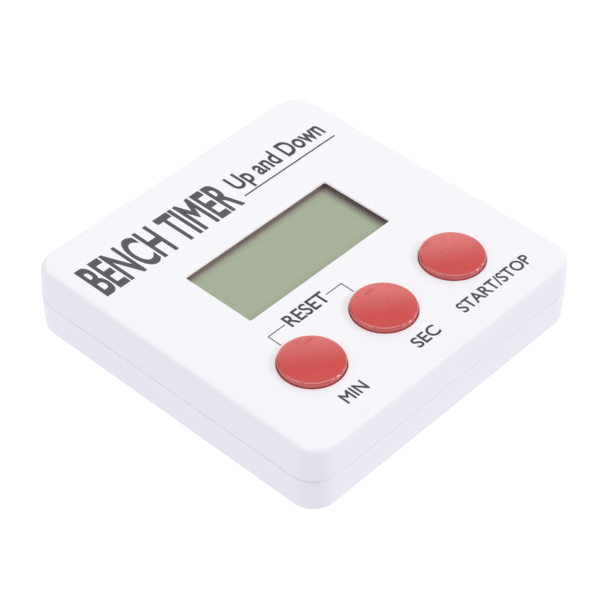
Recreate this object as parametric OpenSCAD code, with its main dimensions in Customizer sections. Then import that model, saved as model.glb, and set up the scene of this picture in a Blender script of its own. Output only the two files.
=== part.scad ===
// Square bench timer, lying on its back: a two-part case that holds a display, three push
// buttons over a rubber keypad, a circuit board, a button cell, a buzzer, two magnets,
// a battery door and a fold-out stand.
//
// Millimetres. The origin is the centre of the back face. +X points to the reader's right,
// +Y to the top edge of the timer, and +Z out of the display face.

/* [Case] */
// Width and height of the square case, at the parting line
case_w = 65; // [64:0.5:72]
// Thickness of the case, from back face to display face
case_t = 13.4; // [13.4:0.1:15]
// Height of the parting line above the back face
part_z = 6.8; // [6.6:0.1:7]
// Radius of the four upright corners
corner_r = 4.75; // [4:0.25:6]
// Thickness of the side walls
wall_t = 1.6; // [1.5:0.1:1.8]
// Thickness of the display face
face_t = 1.6; // [1.5:0.1:1.8]
// Thickness of the back
back_t = 1.6; // [1.5:0.1:1.8]
// How far the front cover's walls lean in towards the display face
front_lean = 0.27; // [0.1:0.01:0.4]
// How far the rear cover's walls lean in towards the back face
back_lean = 0.24; // [0.1:0.01:0.4]
// Radius of the edge round the display face
front_edge_r = 1.2; // [0.6:0.1:1.4]
// Radius of the edge round the back face
back_edge_r = 0.65; // [0.4:0.05:1]

/* [Display] */
// Width of the display window
window_w = 34; // [32:0.1:34.5]
// Height of the display window
window_h = 15.1; // [13:0.1:15.2]
// Place of the window's centre above the case's centre
window_y = 3.65; // [3.5:0.05:3.9]
// Thickness of the thin lip round the window
lip_t = 0.45; // [0.4:0.05:0.6]

/* [Buttons] */
// Diameter of a button cap
button_d = 11.2; // [10.5:0.05:11.6]
// Distance from one button to the next
button_pitch = 17.15; // [16.4:0.05:17.6]
// Place of the row of buttons below the case's centre
button_drop = 17.55; // [17.4:0.05:17.8]
// Place of the middle button to the right of the case's centre
button_shift = -0.1; // [-0.2:0.1:0.2]
// How far a cap's edge stands above the display face
button_proud = 0.85; // [0.6:0.05:1]
// How far a button can be pressed
button_travel = 0.55; // [0.3:0.05:0.55]

/* [Back] */
// Diameter of the button cell
cell_d = 11.6; // [11:0.1:11.6]
// Height of the button cell
cell_h = 5.4; // [5:0.1:5.4]
// Diameter of a magnet
magnet_d = 12; // [8:0.5:12]
// Thickness of a magnet
magnet_t = 1.8; // [1.5:0.1:1.8]
// Width of the fold-out stand
stand_w = 28; // [20:1:28]
// Length of the fold-out stand, from its pivot to its free end
stand_l = 24; // [20:1:24]
// Diameter of the buzzer's metal plate
buzzer_d = 14; // [12:0.5:14]

/* [Hidden] */
$fn = 96;

// Small amounts that many pieces share
cut = 1;              // how far a cutting shape runs past the surface it cuts
weld = 0.1;           // how far a feature runs into the wall it grows from
touch = 0.02;         // gap between pieces that rest on each other
gap = 0.1;            // gap between pieces that only just clear each other
slack = 0.15;         // gap between pieces that slide or drop in
root_z = 1;           // level inside the back's thickness where its features start

// Levels, from the display face down
face_in_z = case_t - face_t;
lip_z = case_t - lip_t;
window_corner_r = 0.4;
gasket_t = 0.75;
polariser_t = 0.2;
glass_t = 0.7;
reflector_t = 0.25;
polariser_z = lip_z - gasket_t - touch - polariser_t;
glass_front_z = polariser_z - glass_t;
glass_rear_z = glass_front_z - glass_t;
reflector_z = glass_rear_z - reflector_t;
pcb_drop = 3.7;
pcb_top_z = face_in_z - pcb_drop;
pcb_t = 1;
pcb_z = pcb_top_z - pcb_t;
pad_t = 0.05;

// Display cell and holder
glass_w = 37;
glass_h = 20;
glass_ledge = 2.4;     // strip of the front glass that overhangs the rear glass
glass_top_y = window_y + 8.9;
glass_mid_y = glass_top_y - glass_h / 2;
rear_glass_h = glass_h - glass_ledge;
rear_glass_y = glass_top_y - rear_glass_h / 2;
holder_wall = 1.3;
zebra_w = 34;
zebra_d = 1.8;
zebra_y = glass_top_y - rear_glass_h - 2 * slack - zebra_d / 2;
holder_slack = 0.4;    // how much wider the glass's pocket is than the glass

// Buttons and keypad
button_r = button_d / 2;
button_hole_r = button_r + 0.12;
button_y = -button_drop;
shoulder_r = 0.35;
crown_h = 0.15;
cap_wall = 1.1;
flange_r = button_r + 1;
flange_t = 0.75;
flange_z = face_in_z - gap - flange_t;
collar_in_r = flange_r + 0.2;
collar_out_r = collar_in_r + 0.8;
key_notch_w = 1.6;
key_notch_depth = 0.7;
gate_nub_r = 0.3;      // left where the plastic entered the mould
gate_nub_angle = 207;
mat_z = pcb_top_z + pad_t;
mat_t = 0.75;
mat_top_z = mat_z + mat_t;
dome_base_r = 4.3;
dome_top_r = 3.2;
dome_wall = 0.6;
dome_top_z = flange_z - gap / 2;
pill_r = 2.2;
pill_t = 0.4;
pill_lift = 0.05;      // what is left between pill and mat when the button is fully pressed
pill_z = mat_z + button_travel + pill_lift;

// Board
pcb_w = 54;
pcb_low_y = -24.2;
pcb_high_y = 14.6;
post_x = 24.3;
post_ys = [12.4, -8.5];
post_r = 1.9;
post_pilot_r = 0.75;
pcb_head_r = 1.5;
pcb_head_t = 1;
pcb_screw_grip = 2.8;  // length of a board screw inside its post

// Case screws
screw_at = case_w / 2 - 5.1;
boss_r = 2.8;
case_pilot_r = 1;
case_hole_r = 1.2;
case_shank_l = 8;
head_r = 1.9;
head_t = 1.4;
head_z = 0.5;
counterbore_r = 2.2;
thread_bite = 0.01;    // how much thinner a screw's shank is than its pilot hole

// Covers' joint: a tongue on the rear cover in a rebate of the front cover
tongue_t = 0.75;
tongue_h = 1.2;
tongue_root = 1;       // how far the tongue reaches down inside the rear cover's wall
seam_bevel_front = 0.12;
seam_bevel_back = 0.22;

// Battery
cell_r = cell_d / 2;
cell_y = 22.4;
door_t = 1.1;
door_w = 16.6;
door_low_y = 13.6;
door_lip_h = 3.9;
door_rail_w = 0.8;
door_rail_t = 0.55;
door_grip_grooves = 4;
door_recess_z = door_t + gap;
cell_z = door_t + slack;
cell_cap_h = 0.55;
cell_cap_inset = 1.05;
well_in_r = cell_r + 0.2;
well_out_r = well_in_r + 1;
well_floor_z = cell_z + cell_h + 0.65;
well_top_z = well_floor_z + 0.6;
well_pad_t = 1.4;      // plastic round and above the door's recess
contact_t = 0.25;
contact_w = 2.6;
contact_reach = 9.9;
contact_low_z = 3.2;
wire_r = 0.45;

// Stand
pivot_y = 4;
pivot_z = 1.35;
barrel_r = 1.2;
pivot_pin_r = 0.8;
pivot_hole_r = 0.86;
pivot_pin_l = 1.6;
stand_t = 1.35;
stand_z = pivot_z - barrel_r;
stand_end_y = pivot_y - stand_l;
stand_corner_r = 3;
stand_pad_z = 2.9;
hinge_pad_z = 4;
scoop_r = 3;
scoop_w = 10;

// Magnets and buzzer
magnet_x = 21.5;
magnet_y = 17;
magnet_z = 0.05;       // how far the magnets lie below the back face
buzzer_r = buzzer_d / 2;
buzzer_x = 23.1;
buzzer_y = -4;
buzzer_z = 3.2;
buzzer_plate_t = 0.22;
ceramic_t = 0.2;

// ---------------------------------------------------------------- shared shapes

module rounded_rect(w, h, r) {
    square([w, h - 2 * r], center = true);
    square([w - 2 * r, h], center = true);
    for (x = [-1, 1], y = [-1, 1])
        translate([x * (w / 2 - r), y * (h / 2 - r)]) circle(r);
}

module rounded_plate(w, h, r, t) {
    linear_extrude(t) rounded_rect(w, h, r);
}

// Copies on either side of the middle
module left_and_right(x) {
    for (side = [-1, 1]) translate([side * x, 0, 0]) children();
}

module at_corners(x, y) {
    for (side = [-1, 1], end = [-1, 1]) translate([side * x, end * y, 0]) children();
}

// Copies at the three buttons
module at_buttons() {
    for (i = [-1:1]) at_button(i) children();
}

module at_button(i) {
    translate([button_shift + i * button_pitch, button_y, 0]) children();
}

module at_posts() {
    for (y = post_ys) translate([0, y, 0]) left_and_right(post_x) children();
}

// Section through a leaning wall, from a centre line out to the wall, standing on the parting
// line: a small bevel at the foot, then the wall, then a rounded edge
module wall_section(reach, h, lean, edge_r, bevel) {
    a = atan(lean / h);
    edge_y = h - edge_r;
    edge_x = reach - edge_y * tan(a) - edge_r / cos(a);
    polygon([[0, 0], [reach - bevel, 0], [reach - bevel * tan(a), bevel],
        [edge_x + edge_r * cos(a), edge_y + edge_r * sin(a)], [edge_x, edge_y],
        [edge_x, h], [0, h]]);
    translate([edge_x, edge_y]) intersection() {
        circle(edge_r);
        union() {
            square(2 * edge_r);
            rotate(a - 45) square(edge_r);
        }
    }
}

// Square block with rounded corners, leaning walls and one rounded rim
module case_block(h, lean, edge_r, bevel) {
    flat = case_w - 2 * corner_r;
    for (i = [0:3]) rotate(90 * i) {
        translate([flat / 2, flat / 2, 0])
            rotate_extrude(angle = 90) wall_section(corner_r, h, lean, edge_r, bevel);
        translate([flat / 2, flat / 2, 0])
            rotate([90, 0, 0])
                linear_extrude(flat) wall_section(corner_r, h, lean, edge_r, bevel);
    }
    translate([-flat / 2, -flat / 2, 0]) cube([flat, flat, h]);
}

// The space inside the side walls
module case_inside(inset, z, h) {
    translate([0, 0, z])
        rounded_plate(case_w - 2 * inset, case_w - 2 * inset, corner_r - inset, h);
}

// Screw with its head at the bottom and a cross recess in the head
module screw(head_radius, head_height, shank_r, shank_l) {
    slot_w = head_radius * 0.25;
    slot_l = head_radius * 1.2;
    difference() {
        cylinder(r = head_radius, h = head_height);
        for (a = [0, 90]) rotate(a)
            translate([-slot_l / 2, -slot_w / 2, -cut])
                cube([slot_l, slot_w, cut + head_height * 0.55]);
    }
    translate([0, 0, head_height]) cylinder(r = shank_r, h = shank_l);
}

// Round wire through a list of points
module wire(points, r) {
    for (i = [0:len(points) - 2]) {
        run = points[i + 1] - points[i];
        translate(points[i])
            rotate([0, acos(run.z / norm(run)), atan2(run.y, run.x)])
                cylinder(r = r, h = norm(run));
    }
    if (len(points) > 2)
        for (i = [1:len(points) - 2]) translate(points[i]) sphere(r);
}

// ---------------------------------------------------------------- covers

module button_collar() {
    h = face_in_z - mat_top_z - gap / 2;
    rib_w = key_notch_w - 4 * gap;
    rib_in_r = flange_r - key_notch_depth + slack;
    translate([0, 0, face_in_z - h]) {
        difference() {
            cylinder(r = collar_out_r, h = h + weld);
            translate([0, 0, -cut]) cylinder(r = collar_in_r, h = h + 2 * cut);
        }
        // rib that keeps the button from turning
        translate([-rib_w / 2, rib_in_r, 0])
            cube([rib_w, collar_in_r + weld - rib_in_r, h + weld]);
    }
}

module button_opening() {
    break_edge = 0.12;
    translate([0, 0, face_in_z - cut]) cylinder(r = button_hole_r, h = face_t + 2 * cut);
    translate([0, 0, case_t - break_edge])
        cylinder(r1 = button_hole_r, r2 = button_hole_r + break_edge + cut, h = break_edge + cut);
}

module front_cover() color("whitesmoke") {
    pilot_roof = 0.4;
    difference() {
        union() {
            difference() {
                translate([0, 0, part_z])
                    case_block(case_t - part_z, front_lean, front_edge_r, seam_bevel_front);
                case_inside(wall_t, part_z - cut, face_in_z - part_z + cut);
                case_inside(tongue_t, part_z - cut, tongue_h + gap + cut);
            }
            at_buttons() button_collar();
            at_corners(screw_at, screw_at)
                translate([0, 0, part_z + gap]) cylinder(r = boss_r, h = face_in_z - part_z);
            at_posts() translate([0, 0, pcb_top_z]) cylinder(r = post_r, h = pcb_drop + weld);
        }
        at_buttons() button_opening();
        translate([0, window_y, face_in_z - cut])
            rounded_plate(window_w, window_h, window_corner_r, face_t + 2 * cut);
        translate([0, glass_mid_y, face_in_z - cut])
            rounded_plate(glass_w + holder_slack, glass_h + holder_slack, 0.5, lip_z - face_in_z + cut);
        at_corners(screw_at, screw_at) cylinder(r = case_pilot_r, h = face_in_z - pilot_roof);
        at_posts() cylinder(r = post_pilot_r, h = face_in_z - pilot_roof);
    }
}

// Round bar along the stand's pivot
module cross_bar(r, l) {
    translate([-l / 2, pivot_y, pivot_z]) rotate([0, 90, 0]) cylinder(r = r, h = l);
}

module stand_recess() {
    half = stand_w / 2 + slack;
    end_y = stand_end_y - slack;
    clear_r = barrel_r + slack;
    translate([-half, end_y, -cut]) cube([2 * half, pivot_y - end_y, stand_z + stand_t + slack + cut]);
    translate([-half, pivot_y - clear_r, -cut]) cube([2 * half, 2 * clear_r, pivot_z + cut]);
    cross_bar(clear_r, 2 * half);
    // blind holes for the pivot pins
    cross_bar(pivot_hole_r, stand_w + 2 * (pivot_pin_l + slack));
    // scoop for a fingertip at the free end
    translate([-scoop_w / 2, end_y, -0.55 * scoop_r]) rotate([0, 90, 0]) cylinder(r = scoop_r, h = scoop_w);
}

module door_recess() {
    w = door_w + 2 * slack;
    low_y = door_low_y - slack;
    l = case_w / 2 - low_y + cut;
    rail_w = w + 2 * door_rail_w;
    lip_room = wall_t + 0.5;
    translate([-w / 2, low_y, -cut]) cube([w, l, door_recess_z + cut]);
    translate([-rail_w / 2, low_y, door_t - door_rail_t - gap])
        cube([rail_w, l, door_rail_t + 2 * gap]);
    // notch in the top wall that the door's lip fills
    translate([-w / 2, case_w / 2 - lip_room, -cut])
        cube([w, lip_room + cut, door_lip_h + slack + cut]);
}

module battery_well() {
    pad_low_y = door_low_y - well_pad_t;
    pad_w = door_w + 2 * door_rail_w + 2 * well_pad_t;
    translate([-pad_w / 2, pad_low_y, root_z])
        cube([pad_w, case_w / 2 - wall_t - pad_low_y + weld, door_recess_z + well_pad_t - root_z]);
    translate([0, cell_y, root_z]) cylinder(r = well_out_r, h = well_top_z - root_z);
}

module battery_well_cuts() {
    slot_w = contact_w + 4 * slack;
    slot_d = 2;
    translate([0, cell_y, -cut]) cylinder(r = well_in_r, h = well_floor_z + cut);
    // slots for the two contacts
    translate([well_in_r - 0.6, cell_y - slot_w / 2, contact_low_z - 0.4])
        cube([slot_d, slot_w, well_top_z]);
    translate([-well_in_r + 0.6 - slot_d, cell_y - slot_w / 2, well_floor_z - 0.45])
        cube([slot_d, slot_w, well_top_z]);
}

// Ring with a ledge that the sounder's plate lies on and a rim that keeps it in place
module buzzer_seat() {
    ledge_w = 0.8;
    rim_h = 1;
    rim_in_r = buzzer_r + gap;
    translate([buzzer_x, buzzer_y, 0]) difference() {
        translate([0, 0, root_z]) cylinder(r = rim_in_r + 0.6, h = buzzer_z + rim_h - root_z);
        cylinder(r = buzzer_r - ledge_w, h = buzzer_z + cut);
        translate([0, 0, buzzer_z]) cylinder(r = rim_in_r, h = rim_h + cut);
    }
}

module sound_holes() {
    hole_r = 0.6;
    ring_r = 2.7;
    holes = 6;
    h = back_t + 2 * cut;
    translate([buzzer_x, buzzer_y, -cut]) {
        cylinder(r = hole_r, h = h);
        for (i = [1:holes]) rotate(360 / holes * i) translate([ring_r, 0, 0]) cylinder(r = hole_r, h = h);
    }
}

module rear_cover() color("whitesmoke") {
    pad_w = stand_w + 5.8;
    pad_low_y = stand_end_y - scoop_r - 1;
    hinge_pad_l = 5.6;
    rest_r = 1.3;
    rest_h = pcb_z - gap / 2 - root_z;
    difference() {
        union() {
            difference() {
                translate([0, 0, part_z]) mirror([0, 0, 1])
                    case_block(part_z, back_lean, back_edge_r, seam_bevel_back);
                case_inside(wall_t, back_t, part_z);
            }
            difference() {
                case_inside(tongue_t + gap, part_z - tongue_root, tongue_h + tongue_root);
                case_inside(wall_t, part_z - tongue_root - cut, tongue_h + tongue_root + 2 * cut);
            }
            translate([-pad_w / 2, pad_low_y, root_z])
                cube([pad_w, pivot_y - pad_low_y, stand_pad_z - root_z]);
            translate([-pad_w / 2, pivot_y - hinge_pad_l / 2, root_z])
                cube([pad_w, hinge_pad_l, hinge_pad_z - root_z]);
            at_corners(screw_at, screw_at)
                translate([0, 0, root_z]) cylinder(r = boss_r, h = part_z - root_z);
            translate([0, magnet_y, root_z]) left_and_right(magnet_x)
                cylinder(r = magnet_d / 2 + 1.4, h = magnet_t + 0.2);
            // posts that hold the board up while a button is pressed
            translate([0, pcb_low_y + rest_r + 0.3, root_z]) {
                left_and_right(button_pitch / 2) cylinder(r = rest_r, h = rest_h);
                left_and_right(post_x + 0.7) cylinder(r = rest_r, h = rest_h);
            }
            battery_well();
        }
        stand_recess();
        door_recess();
        battery_well_cuts();
        translate([0, magnet_y, -cut]) left_and_right(magnet_x)
            cylinder(r = magnet_d / 2 + gap, h = magnet_t + gap + cut);
        at_corners(screw_at, screw_at) {
            translate([0, 0, -cut]) cylinder(r = counterbore_r, h = head_z + head_t + cut);
            translate([0, 0, -cut]) cylinder(r = case_hole_r, h = part_z + 2 * cut);
        }
        sound_holes();
    }
    buzzer_seat();
}

module battery_door() color("whitesmoke") {
    rail_span = door_w + 2 * door_rail_w - 2 * slack;
    rail_l = case_w / 2 - wall_t - door_low_y - 1;
    groove_l = 8;
    groove_w = 0.6;
    groove_pitch = 1.3;
    groove_deep = 0.3;
    difference() {
        intersection() {
            translate([0, 0, part_z]) mirror([0, 0, 1])
                case_block(part_z, back_lean, back_edge_r, seam_bevel_back);
            union() {
                translate([-door_w / 2, door_low_y, -cut]) cube([door_w, case_w, door_t + cut]);
                translate([-door_w / 2, case_w / 2 - wall_t, -cut]) cube([door_w, case_w, door_lip_h + cut]);
                translate([-rail_span / 2, door_low_y, door_t - door_rail_t])
                    cube([rail_span, rail_l, door_rail_t]);
            }
        }
        // finger grip
        for (i = [1:door_grip_grooves]) translate([-groove_l / 2, case_w / 2 - 3 - groove_pitch * i, -cut])
            cube([groove_l, groove_w, groove_deep + cut]);
    }
}

module stand() color("gainsboro") {
    panel_inset = 4;
    panel_deep = 0.35;
    difference() {
        union() {
            // plate with two rounded corners at its free end
            translate([0, pivot_y - stand_l / 2, stand_z]) intersection() {
                translate([0, stand_corner_r / 2, 0])
                    rounded_plate(stand_w, stand_l + stand_corner_r, stand_corner_r, stand_t);
                translate([-stand_w / 2, -stand_l / 2, -cut])
                    cube([stand_w, stand_l, stand_t + 2 * cut]);
            }
            cross_bar(barrel_r, stand_w);
            cross_bar(pivot_pin_r, stand_w + 2 * pivot_pin_l);
        }
        // shallow panel in the outer face
        translate([0, pivot_y - stand_l / 2 - 0.5, stand_z - cut])
            rounded_plate(stand_w - 2 * panel_inset, stand_l - 2 * panel_inset - 1, 2, cut + panel_deep);
    }
}

// ---------------------------------------------------------------- display

module display_gasket() color("dimgray") {
    frame_h = rear_glass_h - 2 * gap;
    translate([0, 0, lip_z - gasket_t]) difference() {
        translate([0, rear_glass_y, 0]) rounded_plate(glass_w, frame_h, 0.5, gasket_t);
        translate([0, window_y, -cut])
            rounded_plate(window_w + 2 * slack, window_h + 2 * slack, window_corner_r, gasket_t + 2 * cut);
    }
}

module lcd_polariser_front() color("darkseagreen")
    translate([0, rear_glass_y, polariser_z])
        rounded_plate(glass_w - 0.8, rear_glass_h - 0.6, 0.3, polariser_t);

module lcd_glass_front() color("lightcyan")
    translate([-glass_w / 2, glass_top_y - glass_h, glass_front_z]) cube([glass_w, glass_h, glass_t]);

module lcd_glass_rear() color("lightcyan")
    translate([-glass_w / 2, glass_top_y - rear_glass_h, glass_rear_z])
        cube([glass_w, rear_glass_h, glass_t]);

module lcd_reflector() color("silver")
    translate([0, rear_glass_y, reflector_z])
        rounded_plate(glass_w - 1, rear_glass_h - 0.8, 0.3, reflector_t);

module lcd_holder() color("white") {
    pocket_w = glass_w + holder_slack;
    pocket_h = glass_h + holder_slack;
    shelf_z = reflector_z - touch;
    shelf_w = 1.5;
    slot_w = zebra_w + 4 * gap;
    slot_d = zebra_d + 4 * gap;
    through = shelf_z - pcb_top_z + 2 * cut;
    difference() {
        translate([0, glass_mid_y, pcb_top_z])
            rounded_plate(pocket_w + 2 * holder_wall, pocket_h + 2 * holder_wall, 1, pcb_drop - gap);
        translate([0, glass_mid_y, shelf_z]) rounded_plate(pocket_w, pocket_h, 0.3, face_t + cut);
        translate([0, rear_glass_y, pcb_top_z - cut])
            rounded_plate(glass_w - 2 * shelf_w, rear_glass_h - 2 * shelf_w, 0.5, through);
        // slot for the striped connector
        translate([-slot_w / 2, zebra_y - slot_d / 2, pcb_top_z - cut]) cube([slot_w, slot_d, through]);
    }
}

module zebra_strip() color("hotpink")
    translate([-zebra_w / 2, zebra_y - zebra_d / 2, pcb_top_z + pad_t])
        cube([zebra_w, zebra_d, glass_front_z - pcb_top_z - pad_t]);

// ---------------------------------------------------------------- buttons and keypad

// Half section of a cap: side, rounded shoulder and slightly crowned top
module cap_section() {
    edge_z = case_t + button_proud;
    top_r = button_r - shoulder_r;
    crown_r = (top_r * top_r + crown_h * crown_h) / (2 * crown_h);
    translate([0, flange_z]) square([button_r, edge_z - shoulder_r - flange_z]);
    translate([0, flange_z]) square([top_r, edge_z - flange_z]);
    translate([top_r, edge_z - shoulder_r]) circle(shoulder_r);
    intersection() {
        translate([0, edge_z + crown_h - crown_r]) circle(crown_r, $fn = 720);
        translate([0, edge_z - 0.1]) square([top_r, 1]);
    }
    translate([0, flange_z]) square([flange_r, flange_t]);
}

module button(i) color("firebrick") at_button(i) {
    hollow_h = case_t - flange_z - 0.5;
    plunger_r = 2.4;
    difference() {
        rotate_extrude() cap_section();
        translate([0, 0, flange_z - cut]) difference() {
            cylinder(r = button_r - cap_wall, h = hollow_h + cut);
            cylinder(r = plunger_r, h = hollow_h + cut);
        }
        translate([-key_notch_w / 2, flange_r - key_notch_depth, flange_z - cut])
            cube([key_notch_w, key_notch_depth + cut, flange_t + 2 * cut]);
    }
    rotate(gate_nub_angle) translate([button_r - shoulder_r, 0, case_t + button_proud - gate_nub_r / 2])
        sphere(gate_nub_r);
}

module button_minutes() button(-1);
module button_seconds() button(0);
module button_start_stop() button(1);

// Rubber cone with a solid core that carries the contact pill
module key_dome(i) color("lightgray") at_button(i) {
    roof_z = dome_top_z - dome_wall;
    core_z = pill_z + pill_t;
    rotate_extrude() polygon([
        [dome_base_r - dome_wall, mat_top_z], [dome_base_r, mat_top_z],
        [dome_top_r, dome_top_z], [0, dome_top_z], [0, core_z], [pill_r, core_z],
        [pill_r, roof_z], [dome_top_r - dome_wall + gap, roof_z]]);
}

module key_dome_minutes() key_dome(-1);
module key_dome_seconds() key_dome(0);
module key_dome_start_stop() key_dome(1);

module contact_pill(i) color("black")
    at_button(i) translate([0, 0, pill_z]) cylinder(r = pill_r, h = pill_t);

module contact_pill_minutes() contact_pill(-1);
module contact_pill_seconds() contact_pill(0);
module contact_pill_start_stop() contact_pill(1);

module keypad_mat() color("lightgray") {
    margin = 7.8;
    mat_h = 12.8;
    difference() {
        translate([button_shift, button_y, mat_z])
            rounded_plate(2 * (button_pitch + margin), mat_h, 2, mat_t);
        at_buttons() translate([0, 0, mat_z - cut])
            cylinder(r = dome_base_r - dome_wall - gap, h = mat_t + 2 * cut);
    }
}

// ---------------------------------------------------------------- board

module pcb() color("darkgreen") {
    h = pcb_high_y - pcb_low_y;
    difference() {
        translate([0, (pcb_high_y + pcb_low_y) / 2, pcb_z]) rounded_plate(pcb_w, h, 1, pcb_t);
        at_posts() cylinder(r = post_pilot_r + 0.3, h = case_t);
    }
}

// One comb of a key's contact: a spine and its fingers
module comb(fingers) {
    pitch = 1.6;
    finger_w = 0.5;
    reach = 3.6;
    edge = 2.2;
    translate([-edge, -edge]) square([finger_w, 2 * edge]);
    for (n = [0:fingers - 1]) translate([-edge, -edge + pitch * n]) square([reach, finger_w]);
}

module pcb_pads() color("gold") {
    pad_pitch = 2;
    pad_w = 1.2;
    pad_count = 16;
    first_x = -(pad_count - 1) / 2 * pad_pitch;
    translate([0, 0, pcb_top_z]) linear_extrude(pad_t) {
        at_buttons() {
            comb(3);
            rotate(180) comb(3);
        }
        for (n = [0:pad_count - 1])
            translate([first_x + n * pad_pitch - pad_w / 2, zebra_y - zebra_d / 2])
                square([pad_w, zebra_d]);
    }
}

module chip_blob() color("black") {
    blob_r = 5.5;
    blob_h = 1.3;
    ball_r = (blob_r * blob_r + blob_h * blob_h) / (2 * blob_h);
    translate([0, -1, pcb_z]) rotate_extrude() intersection() {
        translate([0, ball_r - blob_h]) circle(ball_r, $fn = 360);
        translate([0, -blob_h - cut]) square([2 * blob_r, blob_h + cut]);
    }
}

module crystal() color("silver") {
    can_r = 1;
    can_l = 6;
    lift = 0.05;
    lead_x = can_l + 1.2;
    lead_r = 0.17;
    translate([-20, 4, pcb_z - can_r - lift]) {
        rotate([0, 90, 0]) cylinder(r = can_r, h = can_l);
        for (y = [-0.35, 0.35])
            wire([[can_l, y, 0], [lead_x, y, 0], [lead_x, y, can_r + lift]], lead_r);
    }
}

// A chip part with its two soldered ends, hanging under the board
module chip_part(l, w, h) {
    translate([-l / 2, -w / 2, pcb_z - h]) cube([l, w, h]);
}

module chip_resistors() color("black")
    for (p = [[-9, 9], [-5.5, 9], [9, 3], [9, 0.5], [-10, -5]])
        translate([p.x, p.y, 0]) chip_part(2, 1.25, 0.5);

module chip_capacitors() color("tan")
    for (p = [[13, 9], [16.5, 9], [-14, -1]])
        translate([p.x, p.y, 0]) chip_part(2, 1.25, 0.85);

module transistor() color("black") {
    leg_w = 0.4;
    leg_l = 0.6;
    leg_t = 0.45;
    body_l = 2.9;
    body_w = 1.3;
    body_t = 1;
    translate([15, -10, pcb_z]) {
        translate([-body_l / 2, -body_w / 2, -body_t - gap / 2]) cube([body_l, body_w, body_t]);
        for (p = [[-0.95, -1.2], [0.95, -1.2], [0, 0.6]])
            translate([p.x - leg_w / 2, p.y, -leg_t]) cube([leg_w, leg_l, leg_t]);
    }
}

module pcb_screws() color("silver")
    at_posts() translate([0, 0, pcb_z - pcb_head_t])
        screw(pcb_head_r, pcb_head_t, post_pilot_r - thread_bite, pcb_t + pcb_screw_grip);

module case_screws() color("silver")
    at_corners(screw_at, screw_at) translate([0, 0, head_z])
        screw(head_r, head_t, case_pilot_r - thread_bite, case_shank_l);

// ---------------------------------------------------------------- battery and buzzer

module button_cell() color("silver") translate([0, cell_y, cell_z]) {
    cylinder(r = cell_r, h = cell_h - cell_cap_h);
    translate([0, 0, cell_h - cell_cap_h]) cylinder(r = cell_r - cell_cap_inset, h = cell_cap_h);
}

// Flat part of a contact, from one x to another
module contact_strip(x0, x1, z) {
    translate([x0, cell_y - contact_w / 2, z]) cube([x1 - x0, contact_w, contact_t]);
}

// Upright part of a contact, from one level up to the top of the well
module contact_leaf(x, z) {
    translate([x, cell_y - contact_w / 2, z]) cube([contact_t, contact_w, well_top_z + contact_t - z]);
}

module battery_contact_positive() color("silver") {
    leaf_x = cell_r + 0.07;
    contact_leaf(leaf_x, contact_low_z);
    contact_strip(leaf_x, contact_reach, well_top_z);
}

module battery_contact_negative() color("silver") {
    strip_z = well_floor_z - contact_t - gap / 2;
    bend_x = -well_in_r - 0.4;
    spring_end_x = 4;
    dimple_r = 1.2;
    dimple_z = cell_z + cell_h + gap / 2;
    contact_strip(bend_x, spring_end_x, strip_z);
    contact_leaf(bend_x, strip_z);
    contact_strip(-contact_reach, bend_x + contact_t, well_top_z);
    // dimple that touches the cell
    translate([0, cell_y, dimple_z]) cylinder(r = dimple_r, h = strip_z - dimple_z + contact_t / 2);
}

module battery_wires() color("red") {
    x = contact_reach - 0.7;
    low_z = pcb_z - 0.7;
    end_y = pcb_high_y - 1.5;
    left_and_right(x)
        wire([[0, cell_y, well_top_z], [0, cell_y, low_z], [0, end_y, low_z], [0, end_y, pcb_z]], wire_r);
}

module buzzer_plate() color("goldenrod")
    translate([buzzer_x, buzzer_y, buzzer_z + touch]) cylinder(r = buzzer_r, h = buzzer_plate_t);

module buzzer_ceramic() color("ivory")
    translate([buzzer_x, buzzer_y, buzzer_z + buzzer_plate_t + touch])
        cylinder(r = buzzer_r - 2.2, h = ceramic_t);

module buzzer_wires() color("red") {
    plate_z = buzzer_z + buzzer_plate_t + touch;
    turn_z = 5.3;
    step_x = 3;
    // one lead from the plate's rim and one from the ceramic
    for (start = [[buzzer_x, buzzer_y + buzzer_r - 1.2, plate_z], [buzzer_x, buzzer_y, plate_z + ceramic_t]])
        wire([start, [start.x, start.y, turn_z], [start.x - step_x, start.y, turn_z],
            [start.x - step_x, start.y, pcb_z]], wire_r);
}

module magnets() color("dimgray")
    translate([0, magnet_y, magnet_z]) left_and_right(magnet_x) cylinder(r = magnet_d / 2, h = magnet_t);

front_cover();
rear_cover();
display_gasket();
lcd_polariser_front();
lcd_glass_front();
lcd_glass_rear();
lcd_reflector();
lcd_holder();
zebra_strip();
button_minutes();
button_seconds();
button_start_stop();
key_dome_minutes();
key_dome_seconds();
key_dome_start_stop();
contact_pill_minutes();
contact_pill_seconds();
contact_pill_start_stop();
keypad_mat();
pcb();
pcb_pads();
chip_blob();
crystal();
chip_resistors();
chip_capacitors();
transistor();
pcb_screws();
case_screws();
button_cell();
battery_contact_positive();
battery_contact_negative();
battery_wires();
battery_door();
buzzer_plate();
buzzer_ceramic();
buzzer_wires();
magnets();
stand();
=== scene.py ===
"""Looks of a flat square bench timer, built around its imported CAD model.

The CAD nodes keep their shapes and get procedural materials. Blender adds the printed lettering,
the rubber key domes, the leads, the light, the floor and the camera. Lengths are metres, in the CAD
frame: +X to the reader's right, +Y to the timer's top edge, +Z out of the display face.
"""

import math

import bmesh
import bpy
from mathutils import Matrix, Vector


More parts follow.
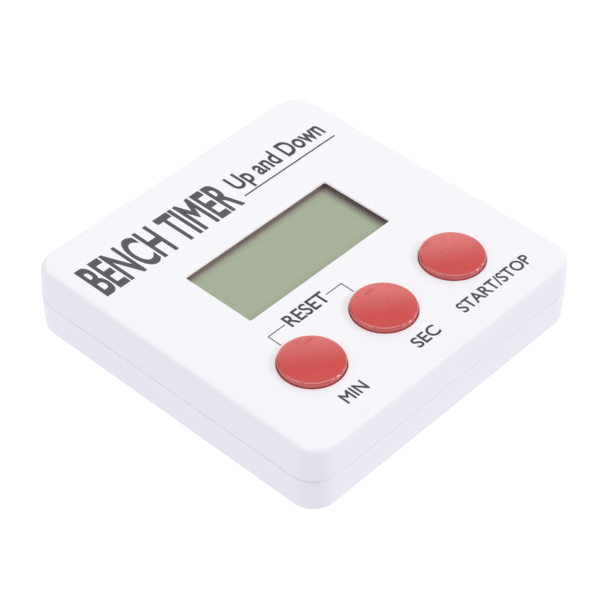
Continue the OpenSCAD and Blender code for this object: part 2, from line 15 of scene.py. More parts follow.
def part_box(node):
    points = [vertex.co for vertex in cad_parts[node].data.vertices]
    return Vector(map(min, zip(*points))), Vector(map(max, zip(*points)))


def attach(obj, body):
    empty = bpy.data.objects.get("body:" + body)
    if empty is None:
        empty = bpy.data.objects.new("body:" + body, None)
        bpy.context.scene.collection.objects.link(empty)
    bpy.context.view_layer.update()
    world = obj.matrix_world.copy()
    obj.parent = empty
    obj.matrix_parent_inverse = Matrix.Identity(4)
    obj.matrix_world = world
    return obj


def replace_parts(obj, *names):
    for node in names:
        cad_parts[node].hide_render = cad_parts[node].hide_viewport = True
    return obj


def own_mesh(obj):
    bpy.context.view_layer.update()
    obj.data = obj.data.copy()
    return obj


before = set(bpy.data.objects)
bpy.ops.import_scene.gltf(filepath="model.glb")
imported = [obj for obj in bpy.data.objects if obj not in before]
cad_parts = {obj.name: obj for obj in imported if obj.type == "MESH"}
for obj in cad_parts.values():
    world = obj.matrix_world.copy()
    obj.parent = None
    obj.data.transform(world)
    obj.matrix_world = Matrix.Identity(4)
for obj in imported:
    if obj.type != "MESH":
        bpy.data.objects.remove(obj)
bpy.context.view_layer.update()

MM = 0.001
BODY = "case"
KEYS = ("minutes", "seconds", "start_stop")

# Levels and places that come from the frame
face_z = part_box("front_cover")[1].z
key_centre = {}
for key in KEYS:
    key_low, key_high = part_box(f"button_{key}")
    key_centre[key] = (key_low + key_high) / 2

# A cap's shape: how high its crown rises, and the widths of the flange and shoulder round the crown
CROWN_H = 0.15 * MM
FLANGE = 1.0 * MM
SHOULDER = 0.35 * MM

# The rim of the display's front film that the gasket covers
FILM_MARGIN = 1.1 * MM

LEAD_R = 0.45 * MM


# ---------------------------------------------------------------- material building blocks


class Recipe:
    """A node material under construction, with short names for the nodes it needs."""

    def __init__(self, name):
        self.material = bpy.data.materials.new(name)
        self.material.use_nodes = True
        self.tree = self.material.node_tree
        self.shader = self.tree.nodes["Principled BSDF"]
        self.output = self.tree.nodes["Material Output"]
        self.place = self.node("ShaderNodeTexCoord").outputs["Object"]

    def node(self, kind, **settings):
        """A new node with its settings."""
        made = self.tree.nodes.new(kind)
        for setting, value in settings.items():
            setattr(made, setting, value)
        return made

    def feed(self, socket, value):
        """Sets a socket to a plain value, or links an output into it."""
        if isinstance(value, bpy.types.NodeSocket):
            self.tree.links.new(value, socket)
        else:
            socket.default_value = value

    def math(self, operation, a, b=0.0):
        made = self.node("ShaderNodeMath", operation=operation)
        self.feed(made.inputs[0], a)
        self.feed(made.inputs[1], b)
        return made.outputs[0]

    def axes(self, vector):
        """The X, Y and Z outputs of a vector."""
        made = self.node("ShaderNodeSeparateXYZ")
        self.feed(made.inputs[0], vector)
        return made.outputs

    def surface_normal(self):
        return self.node("ShaderNodeNewGeometry").outputs["Normal"]

    def noise(self, size, detail=2.0, stretch=(1, 1, 1)):
        """Noise from 0 to 1 whose blotches are about size metres across."""
        scaled = self.node("ShaderNodeMapping")
        self.feed(scaled.inputs["Vector"], self.place)
        scaled.inputs["Scale"].default_value = [s / size for s in stretch]
        made = self.node("ShaderNodeTexNoise")
        made.inputs["Scale"].default_value = 1.0
        made.inputs["Detail"].default_value = detail
        self.feed(made.inputs["Vector"], scaled.outputs[0])
        return made.outputs["Fac"]

    def span(self, value, low, high):
        """Stretches a 0 to 1 value over low to high."""
        made = self.node("ShaderNodeMapRange")
        self.feed(made.inputs["Value"], value)
        made.inputs["To Min"].default_value = low
        made.inputs["To Max"].default_value = high
        return made.outputs["Result"]

    def smooth(self, value, low, high):
        """0 below low, 1 above high, smooth between them."""
        made = self.node("ShaderNodeMapRange", interpolation_type="SMOOTHSTEP")
        self.feed(made.inputs["Value"], value)
        made.inputs["From Min"].default_value = low
        made.inputs["From Max"].default_value = high
        return made.outputs["Result"]

    def blend(self, share, a, b):
        """A colour that goes from a to b as share goes from 0 to 1."""
        made = self.node("ShaderNodeMix", data_type="RGBA")
        self.feed(made.inputs["Factor"], share)
        self.feed(made.inputs["A"], a)
        self.feed(made.inputs["B"], b)
        return made.outputs["Result"]

    def bump(self, height, depth, under=None):
        """A surface relief that is depth metres tall, over the mesh's own normal or the one given."""
        made = self.node("ShaderNodeBump")
        made.inputs["Distance"].default_value = depth
        self.feed(made.inputs["Height"], height)
        if under is not None:
            self.feed(made.inputs["Normal"], under)
        return made.outputs["Normal"]

    def vector(self, operation, a, b=(0, 0, 0), out="Vector"):
        """Vector arithmetic, whose result is the named output."""
        made = self.node("ShaderNodeVectorMath", operation=operation)
        self.feed(made.inputs[0], a)
        self.feed(made.inputs[1], b)
        return made.outputs[out]

    def blend_vector(self, share, a, b):
        """A vector that goes from a to b as share goes from 0 to 1."""
        vector_a, vector_b, vector_out = 4, 5, 1
        made = self.node("ShaderNodeMix", data_type="VECTOR")
        self.feed(made.inputs["Factor"], share)
        self.feed(made.inputs[vector_a], a)
        self.feed(made.inputs[vector_b], b)
        return made.outputs[vector_out]

    def set(self, **values):
        """Feeds the main shader's sockets, named with _ for each space."""
        for name, value in values.items():
            self.feed(self.shader.inputs[name.replace("_", " ")], value)
        return self


def rgb(red, green, blue):
    return (red, green, blue, 1.0)


def moulded(name, colour, roughness, grain=0.12 * MM, grain_depth=0.002 * MM, shade=0.03, **extra):
    """Injection-moulded plastic: fine surface grain, a slow drift of colour and uneven polish."""
    polish_change = 0.05
    r = Recipe(name)
    drift = r.span(r.noise(9 * MM, 3), 1 - shade, 1 + shade)
    tint = r.node("ShaderNodeVectorMath", operation="SCALE")
    tint.inputs[0].default_value = colour[:3]
    r.feed(tint.inputs["Scale"], drift)
    polish = r.span(r.noise(2.5 * MM, 4), roughness - polish_change, roughness + polish_change)
    relief = r.bump(r.noise(grain, 3), grain_depth)
    r.set(Base_Color=tint.outputs[0], Roughness=polish, Normal=relief, **extra)
    return r


def metal(name, colour, roughness, stretch=(1, 12, 1), scratch=0.4 * MM, depth=0.001 * MM):
    """Plated or rolled metal: fine lines one way and a patchy polish."""
    r = Recipe(name)
    lines = r.noise(scratch, 4, stretch)
    patch = r.noise(1.8 * MM, 3)
    dull = rgb(*(0.72 * c for c in colour[:3]))
    r.set(Base_Color=r.blend(r.span(patch, 0.0, 0.45), colour, dull), Metallic=1.0,
          Roughness=r.span(lines, roughness - 0.08, roughness + 0.1), Normal=r.bump(lines, depth))
    return r


# ---------------------------------------------------------------- materials


def window_edge(r):
    """1 on the upright edges of the thin lip round the display window, 0 elsewhere."""
    low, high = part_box("display_gasket")
    place = r.axes(r.place)
    share = r.math("LESS_THAN", r.math("ABSOLUTE", r.axes(r.surface_normal())["Z"]), 0.5)
    tests = (
        ("X", "GREATER_THAN", low.x),
        ("X", "LESS_THAN", high.x),
        ("Y", "GREATER_THAN", low.y),
        ("Y", "LESS_THAN", high.y),
        ("Z", "GREATER_THAN", high.z),
    )
    for axis, test, limit in tests:
        share = r.math("MULTIPLY", share, r.math(test, place[axis], limit))
    return share


def white_case():
    """Satin white ABS; the upright edges of the window's thin lip get a painted warm glow."""
    r = moulded("white_case", rgb(0.905, 0.902, 0.905), 0.42, shade=0.008)
    # painted glow: warm emission on the lip's upright edges, standing in for light
    painted_glow = r.math("MULTIPLY", window_edge(r), 0.36)
    r.set(Emission_Color=rgb(1.0, 0.80, 0.80), Emission_Strength=painted_glow)
    return r.material


def stand_white():
    """The same plastic, slightly greyer and coarser."""
    r = moulded("stand_white", rgb(0.86, 0.86, 0.87), 0.48, grain=0.2 * MM, grain_depth=0.004 * MM,
                shade=0.012)
    return r.material


def crown_normal(r, key):
    """Where a cap's spherical crown is, and its true normal there, so that it mirrors without facets."""
    low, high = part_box(f"button_{key}")
    edge_r = (high.x - low.x) / 2 - FLANGE - SHOULDER
    crown_r = (edge_r ** 2 + CROWN_H ** 2) / (2 * CROWN_H)
    crown_foot = high.z - CROWN_H
    axis = key_centre[key]
    from_centre = r.vector("SUBTRACT", r.place, (axis.x, axis.y, high.z - crown_r))
    distance = r.vector("LENGTH", from_centre, out="Value")
    above = r.smooth(r.axes(r.place)["Z"], crown_foot - 0.002 * MM, crown_foot)
    within = r.smooth(distance, crown_r + 0.02 * MM, crown_r + 0.005 * MM)
    on_crown = r.math("MULTIPLY", above, within)
    outward = r.vector("NORMALIZE", from_centre)
    return on_crown, r.blend_vector(on_crown, r.surface_normal(), outward)


def key_red(key):
    """Polished red plastic: a clear gloss over a body colour that drifts slightly with the melt's flow."""
    crown_ior, shoulder_ior = 1.7, 1.95
    r = Recipe(f"red_cap_{key}")
    flow = r.noise(5 * MM, 4, (1, 2.2, 1))
    on_crown, shape = crown_normal(r, key)
    r.set(Base_Color=r.blend(flow, rgb(0.625, 0.057, 0.046), rgb(0.655, 0.063, 0.051)),
          Roughness=r.span(r.noise(1.2 * MM, 3), 0.24, 0.32), Specular_IOR_Level=0.2,
          Normal=r.bump(r.noise(0.4 * MM, 2), 0.0006 * MM, under=shape))
    r.set(Coat_Weight=1.0, Coat_IOR=r.span(on_crown, shoulder_ior, crown_ior),
          Coat_Roughness=r.span(flow, 0.03, 0.05),
          Coat_Normal=r.bump(r.noise(3.5 * MM, 1), 0.002 * MM, under=shape))
    return r.material


def lcd_film():
    """Front of the display: grey-green, with a faint sheen and haze, and the gasket's shadow at two sides."""
    side_shade_w, top_shade_w, past_edge = 2.3 * MM, 1.7 * MM, 0.3 * MM
    r = Recipe("lcd_film")
    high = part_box("lcd_polariser_front")[1]
    edge_x, edge_y = high.x - FILM_MARGIN, high.y - FILM_MARGIN
    place = r.axes(r.place)
    side_shade = r.smooth(place["X"], edge_x - side_shade_w, edge_x + past_edge)
    top_shade = r.smooth(place["Y"], edge_y - top_shade_w, edge_y + past_edge)
    green = r.blend(r.noise(5 * MM, 3), rgb(0.348, 0.401, 0.272), rgb(0.363, 0.414, 0.284))
    shaded = r.blend(top_shade, green, rgb(0.290, 0.240, 0.215))
    shaded = r.blend(side_shade, shaded, rgb(0.185, 0.160, 0.145))
    r.set(Base_Color=shaded, Roughness=r.span(r.noise(1.5 * MM, 3), 0.26, 0.32),
          Normal=r.bump(r.noise(0.2 * MM, 2), 0.0006 * MM))
    return r.material


def lcd_glass():
    """Thin glass seen through the film: nearly clear, with a faint green tint in patches."""
    r = Recipe("lcd_glass")
    tint = r.blend(r.noise(4 * MM, 2), rgb(0.975, 0.99, 0.98), rgb(0.985, 0.995, 0.985))
    clear = r.node("ShaderNodeBsdfTransparent")
    r.feed(clear.inputs["Color"], tint)
    sheen = r.node("ShaderNodeBsdfGlossy")
    sheen.inputs["Roughness"].default_value = 0.05
    both = r.node("ShaderNodeMixShader")
    both.inputs[0].default_value = 0.02
    r.feed(both.inputs[1], clear.outputs[0])
    r.feed(both.inputs[2], sheen.outputs[0])
    r.feed(r.output.inputs["Surface"], both.outputs[0])
    return r.material


def lcd_back():
    """Rear polariser and reflector: a fine-grained silvery grey-green sheet."""
    r = Recipe("lcd_back")
    fleck = r.noise(0.08 * MM, 2)
    r.set(Base_Color=r.blend(fleck, rgb(0.70, 0.745, 0.645), rgb(0.76, 0.80, 0.70)), Roughness=0.7,
          Normal=r.bump(fleck, 0.002 * MM))
    return r.material


def foam_dark():
    """Closed-cell foam round the display: dark red-brown with painted shade under the lip, grey-brown lower
    down, and a paler top side painted as if lit more.
    """
    r = Recipe("foam_dark")
    low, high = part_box("display_gasket")
    place = r.axes(r.place)
    # painted shade: darkest just under the lip, lighter lower down
    below_lip_shade = r.smooth(place["Z"], high.z - 0.1 * MM, low.z)
    # painted light: the wall along the top side is paler, as if more light falls on it
    lit_top_side = r.smooth(place["Y"], high.y - 1.5 * MM, high.y - 1.2 * MM)
    cells = r.noise(0.12 * MM, 3)
    shaded_under_lip = r.blend(cells, rgb(0.090, 0.055, 0.058), rgb(0.135, 0.085, 0.088))
    lower_with_lit_top = r.blend(lit_top_side, rgb(0.220, 0.185, 0.175), rgb(0.420, 0.350, 0.320))
    r.set(Base_Color=r.blend(below_lip_shade, shaded_under_lip, lower_with_lit_top), Roughness=0.9, Normal=r.bump(cells, 0.01 * MM))
    return r.material


def ink(name, pale, dark):
    """Screen-printed ink with a slightly mottled cover."""
    r = Recipe(name)
    mottle = r.noise(0.25 * MM, 4)
    r.set(Base_Color=r.blend(mottle, dark, pale), Roughness=0.5, Normal=r.bump(mottle, 0.003 * MM))
    return r.material


def rubber(name, colour):
    """Moulded rubber with a patchy pale bloom."""
    bloom_gain, bloom_lift = 1.1, 0.01
    r = Recipe(name)
    bloom = r.noise(0.6 * MM, 4)
    pale = rgb(*(c * bloom_gain + bloom_lift for c in colour[:3]))
    r.set(Base_Color=r.blend(bloom, colour, pale), Roughness=r.span(bloom, 0.55, 0.75),
          Normal=r.bump(r.noise(0.15 * MM, 3), 0.004 * MM))
    return r.material


def zebra():
    """Striped connector: thin carbon layers between pale silicone ones."""
    pitch = 0.5 * MM
    scale_at_unit_pitch = 0.31
    r = Recipe("zebra_stripes")
    wave = r.node("ShaderNodeTexWave", bands_direction="X")
    r.feed(wave.inputs["Vector"], r.place)
    wave.inputs["Scale"].default_value = scale_at_unit_pitch / pitch
    wave.inputs["Distortion"].default_value = 0.0
    stripe = r.smooth(wave.outputs["Fac"], 0.45, 0.55)
    r.set(Base_Color=r.blend(stripe, rgb(0.03, 0.03, 0.03), rgb(0.75, 0.42, 0.46)), Roughness=0.6,
          Normal=r.bump(r.noise(0.2 * MM, 3), 0.004 * MM))
    return r.material


def circuit_board():
    """Solder mask over a glass weave, with the traces showing as slightly paler lines."""
    r = Recipe("circuit_board")
    brick = r.node("ShaderNodeTexBrick")
    r.feed(brick.inputs["Vector"], r.place)
    brick.inputs["Scale"].default_value = 1 / (1.2 * MM)
    brick.inputs["Mortar Size"].default_value = 0.09
    trace = r.math("MULTIPLY", brick.outputs["Fac"], r.smooth(r.noise(6 * MM, 1), 0.45, 0.6))
    weave = r.noise(0.5 * MM, 2, (1, 4, 1))
    mask = r.blend(weave, rgb(0.010, 0.085, 0.035), rgb(0.016, 0.115, 0.048))
    r.set(Base_Color=r.blend(trace, mask, rgb(0.045, 0.20, 0.08)), Roughness=0.35,
          Normal=r.bump(trace, 0.02 * MM), Coat_Weight=0.3)
    return r.material


def plain(name, colour, roughness, grain=0.2 * MM):
    """A small moulded or coated part in one colour, with more drift than the case."""
    return moulded(name, colour, roughness, grain=grain, grain_depth=0.004 * MM, shade=0.06).material


def magnet():
    """Ground ferrite: dark grey with fine grinding lines and small chips."""
    r = Recipe("ferrite")
    lines = r.noise(0.3 * MM, 4, (1, 10, 1))
    chip = r.smooth(r.noise(0.35 * MM, 2), 0.68, 0.72)
    grey = r.blend(lines, rgb(0.035, 0.035, 0.038), rgb(0.075, 0.075, 0.08))
    r.set(Base_Color=r.blend(chip, grey, rgb(0.14, 0.14, 0.14)), Metallic=0.3,
          Roughness=r.span(lines, 0.38, 0.55), Normal=r.bump(lines, 0.004 * MM))
    return r.material


# ---------------------------------------------------------------- materials on the CAD nodes

white = white_case()
ink_heading = ink("ink_heading", rgb(0.076, 0.075, 0.086), rgb(0.058, 0.057, 0.067))
ink_label = ink("ink_label", rgb(0.046, 0.049, 0.068), rgb(0.032, 0.034, 0.050))
silicone = rubber("silicone_grey", rgb(0.46, 0.47, 0.48))
carbon = rubber("carbon_pill", rgb(0.012, 0.012, 0.012))
steel_screw = metal("zinc_screw", rgb(0.62, 0.62, 0.64), 0.32, stretch=(1, 1, 1)).material
steel_strip = metal("spring_strip", rgb(0.70, 0.69, 0.66), 0.28).material
solder = metal("solder", rgb(0.62, 0.62, 0.63), 0.35, stretch=(1, 1, 1)).material
wire_red = plain("wire_red", rgb(0.45, 0.02, 0.02), 0.35)

finish = {
    "front_cover": white,
    "rear_cover": white,
    "battery_door": white,
    "stand": stand_white(),
    "display_gasket": foam_dark(),
    "lcd_polariser_front": lcd_film(),
    "lcd_glass_front": lcd_glass(),
    "lcd_reflector": lcd_back(),
    "lcd_holder": plain("natural_plastic", rgb(0.72, 0.72, 0.69), 0.5),
    "zebra_strip": zebra(),
    "keypad_mat": silicone,
    "pcb": circuit_board(),
    "pcb_pads": metal("gold_flash", rgb(0.83, 0.62, 0.25), 0.3).material,
    "chip_blob": plain("black_resin", rgb(0.012, 0.012, 0.013), 0.22, grain=1.5 * MM),
    "crystal": metal("tin_can", rgb(0.72, 0.72, 0.72), 0.22, stretch=(8, 1, 1)).material,
    "chip_resistors": plain("chip_black", rgb(0.02, 0.02, 0.022), 0.4),
    "chip_capacitors": plain("chip_tan", rgb(0.42, 0.29, 0.17), 0.5),
    "transistor": plain("transistor_black", rgb(0.018, 0.018, 0.018), 0.5),
    "pcb_screws": steel_screw,
    "case_screws": steel_screw,
    "button_cell": metal("cell_steel", rgb(0.74, 0.74, 0.75), 0.24, stretch=(1, 1, 8)).material,
    "battery_contact_positive": steel_strip,
    "battery_contact_negative": steel_strip,
    "battery_wires": wire_red,
    "buzzer_plate": metal("buzzer_brass", rgb(0.80, 0.60, 0.27), 0.3).material,
    "buzzer_ceramic": plain("buzzer_white", rgb(0.70, 0.69, 0.64), 0.45),
    "buzzer_wires": wire_red,
    "magnets": magnet(),
}
finish["lcd_glass_rear"] = finish["lcd_glass_front"]
for key in KEYS:
    finish[f"button_{key}"] = key_red(key)
    finish[f"contact_pill_{key}"] = carbon
    finish[f"key_dome_{key}"] = silicone

for node, material in finish.items():
    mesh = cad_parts[node].data
    mesh.materials.clear()
    mesh.materials.append(material)


# ---------------------------------------------------------------- printed lettering


def new_piece(name, mesh, material, body):
    """A mesh as a visible piece that rides on a body."""
    piece = bpy.data.objects.new(name, mesh)
    bpy.context.scene.collection.objects.link(piece)
    mesh.materials.clear()
    mesh.materials.append(material)
    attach(piece, body)
    return piece


PRINT_T = 0.02 * MM     # height of the ink above the face; as much again runs into it


def mesh_of(curve):
    """The mesh of a text or curve, which is then thrown away."""
    holder = bpy.data.objects.new("holder", curve)
    bpy.context.scene.collection.objects.link(holder)
    bpy.context.view_layer.update()
    mesh = bpy.data.meshes.new_from_object(holder.evaluated_get(bpy.context.evaluated_depsgraph_get()))
    bpy.data.objects.remove(holder)
    bpy.data.curves.remove(curve)
    return mesh


def text_mesh(words, weight):
    """The words as a thin solid, one unit tall in font size, with strokes grown by weight all round."""
    curve = bpy.data.curves.new("words", "FONT")
    curve.body = words
    curve.bevel_depth = weight
    curve.bevel_resolution = 2
    curve.extrude = 0.5
    curve.resolution_u = 6
    return mesh_of(curve)


def extent(mesh, axis):
    """Lowest and highest coordinate of a mesh along an axis."""
    values = [v.co[axis] for v in mesh.vertices]
    return min(values), max(values)


def printed(name, words, left, right, base, cap_height, weight, colour):
    """Lettering on the display face, fitted between left and right and standing on base."""
    reference = text_mesh("H", weight)
    low, high = extent(reference, 1)
    bpy.data.meshes.remove(reference)
    mesh = text_mesh(words, weight)
    start, end = extent(mesh, 0)
    grow_x = (right - left) / (end - start)
    grow_y = cap_height / (high - low)
    move = Matrix.Translation(Vector((left, base, face_z)))
    grow = Matrix.Diagonal((grow_x, grow_y, 2 * PRINT_T, 1))
    centre = Matrix.Translation(Vector((-start, -low, 0)))
    mesh.transform(move @ grow @ centre)
    return new_piece(name, mesh, colour, BODY)


def bar(bm, x0, x1, y0, y1):
    """A printed line, as a thin slab from one corner to the other."""
    made = bmesh.ops.create_cube(bm, size=1.0)["verts"]
    middle = Vector(((x0 + x1) / 2, (y0 + y1) / 2, face_z))
    for v in made:
        v.co = Vector((v.co.x * (x1 - x0), v.co.y * (y1 - y0), v.co.z * 2 * PRINT_T)) + middle


def lines(name, bars):
    """Printed lines as one piece."""
    bm = bmesh.new()
    for b in bars:
        bar(bm, *b)
    mesh = bpy.data.meshes.new(name)
    bm.to_mesh(mesh)
    bm.free()
    return new_piece(name, mesh, ink_label, BODY)


def lettering():
    """The heading, the ruled note beside it, a label under each key and the bracket that joins two keys."""
    x = {key: key_centre[key].x for key in KEYS}
    row_y = key_centre["seconds"].y
    heading_weight, note_weight, label_weight = 0.024, 0.020, 0.017

    printed("print_heading", "BENCH TIMER", -28.8 * MM, 3.4 * MM, 17.0 * MM, 8.2 * MM, heading_weight,
            ink_heading)
    printed("print_note", "Up and Down", 4.9 * MM, 27.1 * MM, 20.1 * MM, 4.1 * MM, note_weight, ink_label)
    lines("print_rule", [(4.6 * MM, 27.4 * MM, 18.25 * MM, 18.55 * MM)])

    # Each label, and how far it runs to the left and right of its key's centre
    labels = (
        ("minutes", "MIN", 2.65 * MM, 2.35 * MM),
        ("seconds", "SEC", 2.9 * MM, 2.6 * MM),
        ("start_stop", "START/STOP", 8.85 * MM, 8.65 * MM),
    )
    label_base = row_y - 10.25 * MM
    label_h = 2.4 * MM
    for key, words, left, right in labels:
        printed(f"print_{key}", words, x[key] - left, x[key] + right, label_base, label_h, label_weight,
                ink_label)

    middle = (x["minutes"] + x["seconds"]) / 2
    printed("print_reset", "RESET", middle - 4.73 * MM, middle + 4.47 * MM, row_y + 7.75 * MM, 2.8 * MM,
            label_weight, ink_label)
    half = 0.095 * MM
    line_y = row_y + 9.1 * MM
    drop_y = row_y + 6.3 * MM
    left = x["minutes"] - 0.45 * MM
    right = x["seconds"] - 0.3 * MM
    lines("print_bracket", [
        (left - half, middle - 5.2 * MM, line_y - half, line_y + half),
        (left - half, left + half, drop_y, line_y - half),
        (middle + 4.6 * MM, right + half, line_y - half, line_y + half),
        (right - half, right + half, drop_y, line_y - half),
    ])


lettering()


# ---------------------------------------------------------------- rubber domes and leads


def turned(name, profile, centre, segments=64):
    """A mesh made by turning a closed outline of (radius, height) points about a vertical axis."""
    bm = bmesh.new()
    rings = []
    for radius, z in profile:
        if radius == 0:
            rings.append([bm.verts.new((centre.x, centre.y, z))] * segments)
            continue
        ring = []
        for i in range(segments):
            angle = 2 * math.pi * i / segments
            x = centre.x + radius * math.cos(angle)
            y = centre.y + radius * math.sin(angle)
            ring.append(bm.verts.new((x, y, z)))
        rings.append(ring)
    for inner, outer in zip(rings, rings[1:] + rings[:1]):
        for i in range(segments):
            k = (i + 1) % segments
            corners = list(dict.fromkeys((inner[i], inner[k], outer[k], outer[i])))
            if len(corners) > 2:
                bm.faces.new(corners)
    bmesh.ops.recalc_face_normals(bm, faces=bm.faces)
    mesh = bpy.data.meshes.new(name)
    bm.to_mesh(mesh)
    bm.free()
    mesh.shade_smooth()
    return mesh


def arc(centre_r, centre_z, radius, start, end, steps=6):
    """Points of (radius, height) along an arc, angles in degrees from outwards towards up."""
    points = []
    for i in range(steps + 1):
        angle = math.radians(start + (end - start) * i / steps)
        points.append((centre_r + radius * math.cos(angle), centre_z + radius * math.sin(angle)))
    return points


def skirt_outline(low, high):
    """Section of a dome's skirt and roof, from the inside of its foot round to the inside of its roof."""
    wall = 0.55 * MM
    edge = 0.25 * MM
    foot = 0.3 * MM
    foot_r = (high.x - low.x) / 2
    roof_r = foot_r - 1.1 * MM
    points = [(foot_r - wall, low.z), (foot_r - 0.05 * MM, low.z)]
    points += arc(foot_r - foot, low.z + foot, foot, -30, 25, 4)
    points += arc(roof_r - edge, high.z - edge, edge, 25, 90)
    points += [(0, high.z), (0, high.z - wall), (roof_r - wall - edge, high.z - wall)]
    points += arc(roof_r - wall - edge, high.z - wall - edge, edge, 70, 25, 3)
    return points


def core_outline(radius, bottom, top):
    """Section of the stiff core under a dome's roof, with its edges bevelled."""
    bevel = 0.12 * MM
    return [(0, bottom), (radius - bevel, bottom), (radius, bottom + bevel), (radius, top - bevel),
            (radius - bevel, top), (0, top)]


def key_domes():
    """One flexible skirt per key, on the case, and the core under its roof, which rides on the button."""
    core_below_roof = 0.275 * MM
    for key in KEYS:
        low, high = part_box(f"key_dome_{key}")
        centre = (low + high) / 2
        skirt_name = f"dome_skirt_{key}"
        skirt_mesh = turned(skirt_name, skirt_outline(low, high), centre)
        skirt = new_piece(skirt_name, skirt_mesh, silicone, BODY)
        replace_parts(skirt, f"key_dome_{key}")
        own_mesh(skirt)

        pill_low, pill_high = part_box(f"contact_pill_{key}")
        core_r = (pill_high.x - pill_low.x) / 2
        core_name = f"dome_core_{key}"
        core_mesh = turned(core_name, core_outline(core_r, pill_high.z, high.z - core_below_roof), centre)
        new_piece(core_name, core_mesh, silicone, f"button_{key}")


def bent(corners, bend, steps=6):
    """The path through the corners, with every bend rounded off over the length bend on each side."""
    path = [corners[0]]
    for before, corner, after in zip(corners, corners[1:], corners[2:]):
        start = corner + (before - corner).normalized() * bend
        end = corner + (after - corner).normalized() * bend
        for i in range(steps + 1):
            t = i / steps
            path.append(start.lerp(corner, t).lerp(corner.lerp(end, t), t))
    return path + [corners[-1]]


def tubes(name, paths, material):
    """Round tubes as one piece. Each path is a list of (place, share of the lead's full radius)."""
    curve = bpy.data.curves.new(name, "CURVE")
    curve.dimensions = "3D"
    curve.bevel_depth = LEAD_R
    curve.bevel_resolution = 4
    curve.use_fill_caps = True
    for path in paths:
        spline = curve.splines.new("POLY")
        spline.points.add(len(path) - 1)
        for point, (place, width) in zip(spline.points, path):
            point.co = (*place, 1.0)
            point.radius = width
    mesh = mesh_of(curve)
    mesh.shade_smooth()
    return new_piece(name, mesh, material, BODY)


def leads(node, routes):
    """Insulated leads along the routes, with a solder cone at each end, in place of the frame's leads."""
    bend = 0.65 * MM
    solder_h = 0.35 * MM
    insulation, cone_foot, cone_top = 0.85, 1.0, 0.5
    sleeves = []
    cones = []
    for route in routes:
        sleeves.append([(place, insulation) for place in bent(route, bend)])
        for end, inward in ((route[0], route[1]), (route[-1], route[-2])):
            top = end + (inward - end).normalized() * solder_h
            cones.append([(end, cone_foot), (top, cone_top)])
    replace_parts(tubes(f"lead_{node}", sleeves, wire_red), node)
    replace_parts(tubes(f"lead_{node}_solder", cones, solder), node)


def battery_leads():
    """From the cell's two contacts, under the board's edge and up to it."""
    low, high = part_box("battery_wires")
    board_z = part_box("pcb")[0].z
    near_y, far_y, level = low.y + LEAD_R, high.y - LEAD_R, low.z + LEAD_R
    routes = []
    for x in (low.x + LEAD_R, high.x - LEAD_R):
        places = ((x, far_y, high.z), (x, far_y, level), (x, near_y, level), (x, near_y, board_z))
        routes.append([Vector(place) for place in places])
    leads("battery_wires", routes)


def buzzer_leads():
    """From the sounder's rim and its ceramic disc up to the board."""
    low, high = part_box("buzzer_wires")
    from_x, to_x, level = high.x - LEAD_R, low.x + LEAD_R, (low.z + high.z) / 2
    routes = []
    for y, start_z in ((low.y + LEAD_R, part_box("buzzer_ceramic")[1].z), (high.y - LEAD_R, low.z)):
        places = ((from_x, y, start_z), (from_x, y, level), (to_x, y, level), (to_x, y, high.z))
        routes.append([Vector(place) for place in places])
    leads("buzzer_wires", routes)


key_domes()
battery_leads()
buzzer_leads()


# ---------------------------------------------------------------- floor, light and camera

SKY = (0.16, 0.16, 0.165)
FLOOR_GLOW = (0.945, 0.935, 1.03)

# Soft panels in the studio: where each is, the angles where it starts and ends to fade, its light
PANELS = (
    # a row of three bright lamps that draws the highlight along the near edge of each cap
    ((0.585, -0.66, 0.477), 2, 8, (16.0, 16.2, 16.2)),
    ((0.808, -0.394, 0.438), 2, 8, (7.5, 7.6, 7.6)),
    ((0.296, -0.814, 0.500), 2, 8, (7.5, 7.6, 7.6)),
    # broad soft light from the left, from above, from the camera's side and from the right
    ((-0.80, 0.30, 0.50), 10, 50, (0.746, 0.716, 0.81)),
    ((0.0, 0.0, 1.0), 10, 45, (1.70, 1.735, 1.74)),
    ((-0.65, -0.65, 0.40), 10, 50, (0.07, 0.03, 0.13)),
    ((0.85, 0.1, 0.35), 10, 40, (0.44, 0.46, 0.42)),
    # the panel opposite the camera, which the caps mirror as a pale sheen
    ((0.588, 0.70, 0.407), 10, 25, (1.35, 1.35, 1.35)),
)

# Thin dark stands between the panels: both ends, half the width and how much light each takes away
STANDS = (
    ((0.5516, 0.5311, 0.6459), (0.5812, 0.5312, 0.6197), 0.006, 1.0),
    ((0.5323, 0.5557, 0.6421), (0.5501, 0.5493, 0.6327), 0.006, 0.6),
)


def floor():
    """Pale glowing floor, pure white to the camera and see-through from below."""
    half = 1.5
    aside = 0.4    # keeps the seam between its two triangles away from the timer
    below_base = 0.05 * MM
    corners = [(x + aside, y, 0) for x, y in ((-half, -half), (half, -half), (half, half), (-half, half))]
    mesh = bpy.data.meshes.new("floor")
    mesh.from_pydata(corners, [], [(0, 1, 2, 3)])
    obj = bpy.data.objects.new("floor", mesh)
    bpy.context.scene.collection.objects.link(obj)
    obj.location.z = -below_base
    r = Recipe("floor_white")
    seen = r.node("ShaderNodeLightPath").outputs["Is Camera Ray"]
    from_below = r.node("ShaderNodeNewGeometry").outputs["Backfacing"]
    r.set(Base_Color=rgb(0.06, 0.06, 0.06), Roughness=0.9, Emission_Strength=1.0,
          Emission_Color=r.blend(seen, rgb(*FLOOR_GLOW), rgb(1.0, 1.0, 1.0)))
    mix = r.node("ShaderNodeMixShader")
    r.feed(mix.inputs[0], r.math("MULTIPLY", seen, from_below))
    r.feed(mix.inputs[1], r.shader.outputs[0])
    r.feed(mix.inputs[2], r.node("ShaderNodeBsdfTransparent").outputs[0])
    r.feed(r.output.inputs["Surface"], mix.outputs[0])
    mesh.materials.append(r.material)


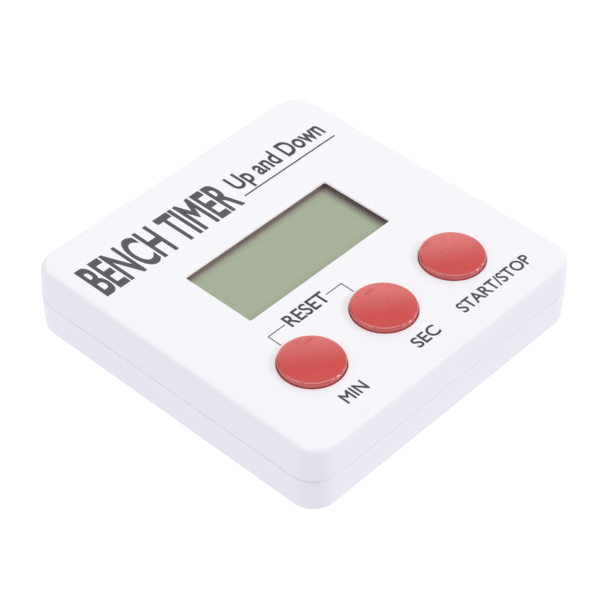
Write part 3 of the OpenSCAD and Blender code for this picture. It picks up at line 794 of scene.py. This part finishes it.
def studio_sky():
    """Soft pale surroundings with broader and narrower panels of light."""
    world = bpy.data.worlds.new("studio")
    bpy.context.scene.world = world
    world.use_nodes = True
    tree = world.node_tree
    direction = tree.nodes.new("ShaderNodeTexCoord").outputs["Generated"]

    def vector_node(operation, a, b):
        made = tree.nodes.new("ShaderNodeVectorMath")
        made.operation = operation
        second = made.inputs["Scale"] if operation == "SCALE" else made.inputs[1]
        for socket, value in ((made.inputs[0], a), (second, b)):
            if isinstance(value, bpy.types.NodeSocket):
                tree.links.new(value, socket)
            else:
                socket.default_value = value
        return made

    def fade(value, start, end, low=0.0, high=1.0):
        """Smooth change from low to high as value goes from start to end."""
        made = tree.nodes.new("ShaderNodeMapRange")
        made.interpolation_type = "SMOOTHSTEP"
        tree.links.new(value, made.inputs["Value"])
        made.inputs["From Min"].default_value = start
        made.inputs["From Max"].default_value = end
        made.inputs["To Min"].default_value = low
        made.inputs["To Max"].default_value = high
        return made.outputs["Result"]

    def cosine(degrees):
        return math.cos(math.radians(degrees))

    light = vector_node("ADD", SKY, (0, 0, 0)).outputs[0]
    for toward, inner, outer, colour in PANELS:
        facing = vector_node("DOT_PRODUCT", direction, Vector(toward).normalized()).outputs["Value"]
        panel = vector_node("SCALE", colour, fade(facing, cosine(outer), cosine(inner))).outputs[0]
        light = vector_node("ADD", light, panel).outputs[0]
    for start, end, half_width, depth in STANDS:
        start, end = Vector(start).normalized(), Vector(end).normalized()
        middle, along, half_length = (start + end) / 2, (end - start).normalized(), (end - start).length / 2
        offset = vector_node("SUBTRACT", direction, middle).outputs[0]
        run = vector_node("DOT_PRODUCT", offset, along).outputs["Value"]
        clipped = tree.nodes.new("ShaderNodeClamp")
        tree.links.new(run, clipped.inputs["Value"])
        clipped.inputs["Min"].default_value = -half_length
        clipped.inputs["Max"].default_value = half_length
        nearest = vector_node("SCALE", along, clipped.outputs[0]).outputs[0]
        distance = vector_node("LENGTH", vector_node("SUBTRACT", offset, nearest).outputs[0], (0, 0, 0))
        shade = fade(distance.outputs["Value"], 0.0, half_width, 1 - depth, 1.0)
        light = vector_node("SCALE", light, shade).outputs[0]
    tree.links.new(light, tree.nodes["Background"].inputs["Color"])


def camera():
    """Looks down on the timer's bottom left corner, with the lens that gives the frame its perspective."""
    azimuth, elevation, roll = math.radians(-47.36), math.radians(43.24), math.radians(0.54)
    distance = 365 * MM
    target = Vector((-1.49, -1.47, 4.79)) * MM
    away = Vector((math.sin(azimuth) * math.cos(elevation), -math.cos(azimuth) * math.cos(elevation),
                   math.sin(elevation)))
    data = bpy.data.cameras.new("camera")
    data.sensor_width = 36.0    # millimetres, as is the lens
    data.lens = 128.3
    data.clip_start = 10 * MM
    obj = bpy.data.objects.new("camera", data)
    bpy.context.scene.collection.objects.link(obj)
    look = (-away).to_track_quat("-Z", "Y").to_matrix().to_4x4()
    obj.matrix_world = Matrix.Translation(target + away * distance) @ look @ Matrix.Rotation(roll, 4, "Z")
    bpy.context.scene.camera = obj


floor()
studio_sky()
camera()
bpy.context.scene.view_settings.view_transform = "Standard"
bpy.context.scene.view_settings.look = "None"
